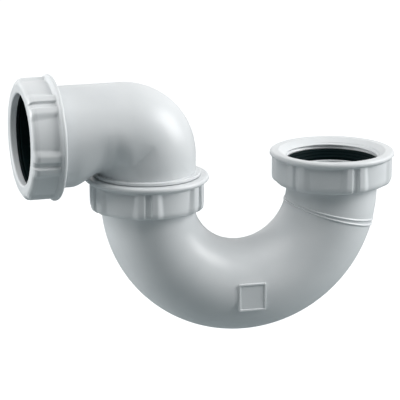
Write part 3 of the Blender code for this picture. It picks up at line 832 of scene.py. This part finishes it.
def elbow_height(across, side, up):
    """How far a point lies outside the elbow: the limb and the riser joined, less the heel's corner.

    The limb is the least of a round tube and the same tube lifted on its underside near the throat.
    The riser is a round tube. Their valley is filled most at the throat and not at all at the sides.
    The heel is a ring tube about the bend's centre, which cuts the outer corner off.
    """
    pipes = trap().pipes
    axis = OUTLET_SPOT.z
    near = pipes.riser + THROAT
    far = pipes.riser + LIFT_START
    ease = near - LIFT_END
    centre = pipes.heel - pipes.riser
    level = axis + pipes.limb - pipes.heel

    # The rise leaves out a twentieth of its easing at each end
    rise = smooth_step((far - across) / (far - near) * 0.9 + 0.05)
    fall = smooth_step((ease - across) / (ease - centre))
    lift = pipes.underside * rise * (1 - fall)
    limb = np.hypot(side, up - axis) - pipes.limb
    lifted = np.hypot(side, up - axis - lift) - pipes.limb

    # The corner's blend grows with the lift, so that a tube that isn't lifted keeps its radius
    limb = -soft_least(-limb, -lifted, lift * 0.25 + TOUCH)

    # The riser widens on the heel's side until it is as wide as the limb
    wider = (pipes.limb - pipes.riser) * smooth_step((up - COUPLING_TOP) / (level - COUPLING_TOP))
    riser = np.hypot(side, across - wider) - pipes.riser - wider
    steep = np.clip(1 - (side / pipes.riser) ** 2, 0.02, 1)
    joined = soft_least(limb, riser, THROAT_FILL * steep)

    turn = np.hypot(np.minimum(across - centre, 0), np.maximum(up - level, 0))
    bent = pipes.heel - pipes.limb
    heel = np.hypot(np.maximum(turn - bent, 0), side) - pipes.limb
    return np.maximum(joined, heel)


def elbow_sections(middle, along, reach, inset, angles):
    """Points of the elbow's skin in planes: found on each ray from a plane's middle by halving.

    The ray's far end is reach cos t along the plane and 1.2 limb radii sin t across it. The skin
    is where the height over the elbow is zero, or minus the inset for its bore.
    """
    wide = trap().pipes.limb * 1.2
    flat = along[:, None] * (reach[:, None] * np.cos(angles))[..., None]
    side = wide * np.sin(angles) + 0 * reach[:, None]
    low = np.zeros_like(side)
    high = np.ones_like(side)
    for _ in range(24):
        share = (low + high) / 2
        spot = middle[:, None] + flat * share[..., None]
        outside = elbow_height(spot[..., 0], side * share, spot[..., 1]) > -inset[:, None]
        high = np.where(outside, share, high)
        low = np.where(outside, low, share)
    spot = middle[:, None] + flat * high[..., None]
    return np.stack((-spot[..., 0], side * high, spot[..., 1]), axis=-1)


def heel_reach(throat, rays):
    """Distance from the throat to the elbow's outer line: its top, its corner's arc or its back."""
    pipes = trap().pipes
    top = OUTLET_SPOT.z + pipes.limb
    centre = np.array((pipes.heel - pipes.riser, top - pipes.heel))
    straight = (top - throat[1]) / np.maximum(rays[:, 1], TOUCH)
    back = (pipes.riser + throat[0]) / np.maximum(-rays[:, 0], TOUCH)
    reach = np.minimum(straight, back)
    spot = throat + rays * reach[:, None]
    offset = throat - centre
    half = rays @ offset
    round_reach = -half + np.sqrt(np.maximum(half**2 - offset @ offset + pipes.heel**2, 0))
    beyond = (spot[:, 0] < centre[0]) & (spot[:, 1] > centre[1])
    return np.where(beyond, round_reach, reach)


def elbow_planes(places, throat):
    """Middles, directions and reaches of planes across the limb, then of planes about the throat.

    The first stand upright, from 0.1 mm inside the joint. The others turn from upright to level,
    from 0.2 mm short of the throat to 2.2 mm past the outer line.
    """
    pipes = trap().pipes
    count = 41
    distance = np.linspace(places.joint - 0.0001, throat[0], count + 1)[:-1]
    limb_middle = np.column_stack((distance, np.full(count, OUTLET_SPOT.z + pipes.underside / 4)))
    turn = np.linspace(0, math.pi / 2, 90)
    rays = np.column_stack((-np.sin(turn), np.cos(turn)))
    half = heel_reach(throat, rays) / 2
    bend_middle = throat + rays * (half + 0.0010)[:, None]
    middle = np.vstack((limb_middle, bend_middle))
    along = np.vstack((np.tile((0.0, 1.0), (count, 1)), rays))
    return middle, along, np.concatenate((np.full(count, pipes.limb * 1.3), half + 0.0012))


def along_outlet(line, angles, radius=None):
    """A line (radius, distance) turned about the outlet's axis, in the elbow's own frame."""
    return turned(line, angles, radius)[..., ::-1] * (-1, 1, 1) + (0, 0, OUTLET_SPOT.z)


def outlet_end(places, angles):
    """The outlet's thread, and the cone and socket inside it, turned about the outlet's axis."""
    pipes, nuts, rings = trap().pipes, trap().nuts, trap().rings
    start = places.nut_start - rings.clearance
    mouth = pipes.socket + pipes.cone_flare
    face = (mouth + pipes.outlet_crest) / 2
    outside = outline(
        0.00025,
        (face, places.elbow_end, 0),
        (pipes.outlet_crest, places.elbow_end, 0.0003),
        (pipes.outlet_crest, start, 0.0002),
        (pipes.limb, start - 0.0005, 0.0003),
        (pipes.limb, places.joint, 0),
    )
    inside = outline(
        0.0008,
        (pipes.socket, places.joint, 0),
        (pipes.socket, places.cone_start, 0.0005),
        (mouth, places.elbow_end, 0.0002),
        (face, places.elbow_end, 0),
    )[:-1]
    low, high = start + 0.0004, places.elbow_end - 0.0003
    radius = threaded(outside, angles, pipes.outlet_crest, nuts.outlet_thread, low, high)
    return along_outlet(outside, angles, radius), along_outlet(inside, angles)


def lower_end(places, angles, foot):
    """The collar, the lower thread and the bore inside it, turned about the riser's axis.

    The top lies a hundredth of a millimetre under the planes about the throat.
    """
    pipes, nuts = trap().pipes, trap().nuts
    end = COUPLING_TOP - places.spigot_end
    top = foot - 0.00001
    lower = outline(
        0.00028,
        (pipes.riser, top, 0),
        (pipes.riser, places.collar_top, 0.00015),
        (pipes.collar, places.collar_top, 0.0004),
        (pipes.collar, places.collar_bottom, 0.0003),
        (pipes.spigot, places.collar_bottom, 0.0002),
        (pipes.spigot, end, 0.0004),
        (pipes.spigot_bore, end, 0.0004),
        (pipes.spigot_bore, places.collar_bottom - 0.0005, 0.0008),
        (pipes.riser - pipes.elbow_wall, top, 0),
    )
    low, high = end + 0.0003, places.collar_bottom - 0.0004
    radius = threaded(lower, angles, pipes.spigot, nuts.thread, low, high)
    return turned(lower, angles, radius)


class TRAP_OT_elbow(bpy.types.Operator):
    """Build the elbow with its collar and both threads"""

    bl_idname = "bath_trap.elbow"
    bl_label = "Elbow"

    def execute(self, context):
        pipes = trap().pipes
        places = Places()
        angles = even_angles(160)
        foot = places.collar_top + 0.0002
        throat = np.array((pipes.riser + THROAT, foot))
        middle, along, far = elbow_planes(places, throat)
        skin = elbow_sections(middle, along, far, np.zeros(len(far)), angles)

        # The bore narrows from the socket to the elbow's own over the first planes
        inset = np.full(len(far), pipes.elbow_wall)
        taper = 20
        inset[:taper] = np.linspace(pipes.limb - pipes.socket, pipes.elbow_wall, taper)
        bore = elbow_sections(middle, along, far, inset, angles)[::-1]
        outside, inside = outlet_end(places, angles)
        points = np.concatenate((outside, skin, lower_end(places, angles, foot), bore, inside))
        add_piece("elbow_skin", placed(points, PIVOT), "white_plastic", "elbow_body", "elbow")
        return {"FINISHED"}


# Round of the rings' edges
RING_EDGE = 0.00025


def add_ring(name, line, slot, body, place, columns=192):
    """A ring that stands for the node of its name: its section turned about its axis."""
    points = placed(turned(line, even_angles(columns)), place)
    add_piece(name + "_skin", points, slot, body, name)


def flat_ring(inner, outer, low, high):
    """Section of a flat ring with eased edges."""
    middle = (inner + outer) / 2
    return outline(
        0.0006,
        (middle, high, 0),
        (outer, high, RING_EDGE),
        (outer, low, RING_EDGE),
        (inner, low, RING_EDGE),
        (inner, high, RING_EDGE),
        (middle, high, 0),
    )[:-1]


def ribbed_line(places):
    """Section of the inlet washer: a funnel whose face swells into rounded ribs."""
    rings = trap().rings
    bottom = INLET_TOP - places.washer_bottom
    top = bottom + rings.inlet_height
    rim = (rings.washer - rings.washer_hole) * 0.18
    head = np.array((rings.washer - rim, top))
    foot = np.array((rings.washer_hole, bottom + rings.rib_height))
    slope = foot - head
    normal = np.array((slope[1], -slope[0])) / np.hypot(*slope)
    share = np.linspace(0, 1, 64)[1:, None]
    swell = rings.rib_height * np.abs(np.sin(math.pi * rings.ribs * share)) ** 0.8
    funnel = head + slope * share + normal * swell
    funnel[:, 0] = np.maximum(funnel[:, 0], rings.washer_hole)
    middle = (rings.washer_hole + rings.washer) / 2
    outside = outline(
        0.0005,
        (middle, bottom, 0),
        (rings.washer, bottom, RING_EDGE),
        (rings.washer, top, RING_EDGE),
        (*head, RING_EDGE * 0.2),
        (*(head + slope * 0.01), 0),
    )
    under = outline(
        0.0005,
        (foot[0], foot[1] - 0.0001, 0),
        (rings.washer_hole, bottom, RING_EDGE),
        (middle, bottom, 0),
    )[:-1]
    return np.vstack((outside, funnel, under))


class TRAP_OT_rings(bpy.types.Operator):
    """Build the two washers, the outlet's seal and its slip ring"""

    bl_idname = "bath_trap.rings"
    bl_label = "Washers, seal and slip ring"

    def execute(self, context):
        pipes, rings = trap().pipes, trap().rings
        places = Places()
        inlet = Matrix.Identity(4)
        add_ring("inlet_washer", ribbed_line(places), "black_rubber", "trap", inlet, 256)
        bottom = COUPLING_TOP - places.washer_bottom
        flat = flat_ring(rings.washer_hole, rings.washer, bottom, bottom + rings.coupling_height)
        coupling = Matrix.Translation(COUPLING_AXIS)
        add_ring("coupling_washer", flat, "black_rubber", "trap", coupling)

        front = places.seal_front
        back = front - rings.seal_length
        root = pipes.socket + pipes.cone_flare - rings.clearance
        share = (back - places.cone_start) / pipes.cone_depth
        tip = pipes.socket + pipes.cone_flare * share - rings.clearance
        middle = (rings.seal_bore + rings.ring_radius) / 2
        shelf = front - rings.seal_head
        wedge = outline(
            0.0006,
            (middle, front, 0),
            (rings.ring_radius, front, RING_EDGE),
            (rings.ring_radius, shelf, RING_EDGE),
            (root, shelf, RING_EDGE * 0.5),
            (tip, back, RING_EDGE * 0.3),
            (rings.seal_bore, back, RING_EDGE * 0.3),
            (rings.seal_bore, front, RING_EDGE * 1.5),
            (middle, front, 0),
        )[:-1]
        add_ring("outlet_seal", wedge, "black_rubber", "elbow_body", OUTLET)
        low = places.slip_front - rings.slip_height
        hoop = flat_ring(pipes.socket, rings.ring_radius, low, places.slip_front)
        add_ring("outlet_slip_ring", hoop, "dark_plastic", "slip_ring_body", OUTLET)
        return {"FINISHED"}


WHITE_RAYS = ("Is Camera Ray", "Is Glossy Ray", "Is Transmission Ray")

# What the camera and the lamps face, and each lamp's setting, place from there and square's side
TARGET = Vector((-0.06907, 0, -0.02172))
LAMPS = (
    ("right", (0.95, -0.26, 0.50), 0.7),
    ("top", (-0.30, -0.20, 0.85), 0.8),
    ("left", (-1.00, 0.25, 0.25), 0.5),
)


def pale_floor(shader):
    """A pale matt floor that the camera sees as white, but for a shadow near its middle."""
    finish = trap().finish
    colour = shader.mix(shader.noise(3), opaque(finish.floor_shade), opaque(finish.floor))
    matt = shader.node("BsdfDiffuse", Color=colour)
    seen = shader.node("LightPath", output="Is Camera Ray")
    away = shader.node("VectorMath", {"operation": "LENGTH"}, output="Value", at0=shader.place())
    shadow, fade = 0.20, 0.25
    open_floor = ((away - shadow) * (1 / fade)).limited()
    glow = shader.node("Emission", Color=(1, 1, 1, 1), Strength=seen * (open_floor * 0.35 + 0.67))
    return shader.node("AddShader", at0=matt, at1=glow)


def add_floor():
    """A disc: (r cos t, r sin t, height)."""
    low = CAD_BOX[0][2] - trap().stage.floor_drop
    radius, rings, columns = 4, 23, 96
    ring = np.linspace(0, radius, rings + 1)[1:]
    line = np.column_stack((ring, np.full(rings, low)))
    points = turned(line, even_angles(columns)).reshape(-1, 3)
    faces = grid_faces(rings, columns)[:-1, :, ::-1].reshape(-1, 4).tolist()
    faces.append(list(range(columns)))
    floor = add_mesh("floor", points, faces, ("pale_floor", pale_floor))


def add_world():
    """Soft light all round, and white wherever the camera or a reflection sees the background."""
    stage = trap().stage
    world = bpy.data.worlds.new("studio")
    bpy.context.scene.world = world
    world.use_nodes = True
    shader = Shader(world.node_tree)
    seen = sum(shader.node("LightPath", output=name) for name in WHITE_RAYS).limited()
    soft = shader.node("Background", Color=opaque(stage.ambient_tint), Strength=stage.ambient)
    white = shader.node("Background", Color=(1, 1, 1, 1), Strength=1.0)
    surface = shader.node("MixShader", at0=seen, at1=soft, at2=white)
    shader.node("OutputWorld", Surface=surface)


def add_aimed(data, away, distance=1):
    """An object at a vector times a distance from the target, which it faces."""
    item = add_object(data)
    item.location = TARGET + away * distance
    item.rotation_euler = away.to_track_quat("Z", "Y").to_euler()
    return item


def add_lamps():
    """Square area lamps that face the target."""
    for name, spot, size in LAMPS:
        light = bpy.data.lights.new("lamp_" + name, "AREA")
        light.shape = "SQUARE"
        light.size = size
        light.energy = getattr(trap().stage, name)
        add_aimed(light, Vector(spot))


def add_camera():
    """A camera that looks at the target from its azimuth and elevation."""
    stage = trap().stage
    level = math.cos(stage.elevation)
    across = math.sin(stage.azimuth) * level
    along = -math.cos(stage.azimuth) * level
    away = Vector((across, along, math.sin(stage.elevation)))
    data = bpy.data.cameras.new("camera")
    data.lens = stage.focal
    data.sensor_width = 36
    bpy.context.scene.camera = add_aimed(data, away, stage.distance)


class TRAP_OT_stage(bpy.types.Operator):
    """Set up the floor, the light and the camera"""

    bl_idname = "bath_trap.stage"
    bl_label = "Floor, light and camera"

    def execute(self, context):
        add_floor()
        add_world()
        add_lamps()
        add_camera()
        bpy.context.scene.view_settings.view_transform = "Standard"
        return {"FINISHED"}


class TrapSettings(bpy.types.PropertyGroup):
    """All the settings of the trap."""

    pipes: PointerProperty(type=TrapPipes)
    nuts: PointerProperty(type=TrapNuts)
    rings: PointerProperty(type=TrapRings)
    finish: PointerProperty(type=TrapFinish)
    stage: PointerProperty(type=TrapStage)


class TRAP_PT_panel(bpy.types.Panel):
    """Sidebar of the trap"""

    bl_idname = "TRAP_PT_panel"
    bl_label = "Bath trap"
    bl_space_type = "VIEW_3D"
    bl_region_type = "UI"
    bl_category = "Trap"

    def draw(self, context):
        for operator in OPERATORS:
            self.layout.operator(operator.bl_idname)
        for group in trap().__annotations__:
            values = getattr(trap(), group)
            box = self.layout.box()
            box.label(text=group.capitalize())
            for key in values.__annotations__:
                box.prop(values, key)


GROUPS = (TrapPipes, TrapNuts, TrapRings, TrapFinish, TrapStage, TrapSettings)
OPERATORS = (TRAP_OT_u_bend, TRAP_OT_nuts, TRAP_OT_elbow, TRAP_OT_rings, TRAP_OT_stage)


def register():
    """Make the settings, the operators and the panel known to Blender."""
    for group in GROUPS + OPERATORS + (TRAP_PT_panel,):
        bpy.utils.register_class(group)
    bpy.types.Scene.bath_trap = PointerProperty(type=TrapSettings)


def unregister():
    """Take them away again."""
    del bpy.types.Scene.bath_trap
    for group in reversed(GROUPS + OPERATORS + (TRAP_PT_panel,)):
        bpy.utils.unregister_class(group)


def main():
    register()
    bpy.ops.bath_trap.u_bend()
    bpy.ops.bath_trap.nuts()
    bpy.ops.bath_trap.elbow()
    bpy.ops.bath_trap.rings()
    bpy.ops.bath_trap.stage()


if __name__ == "__main__":
    main()
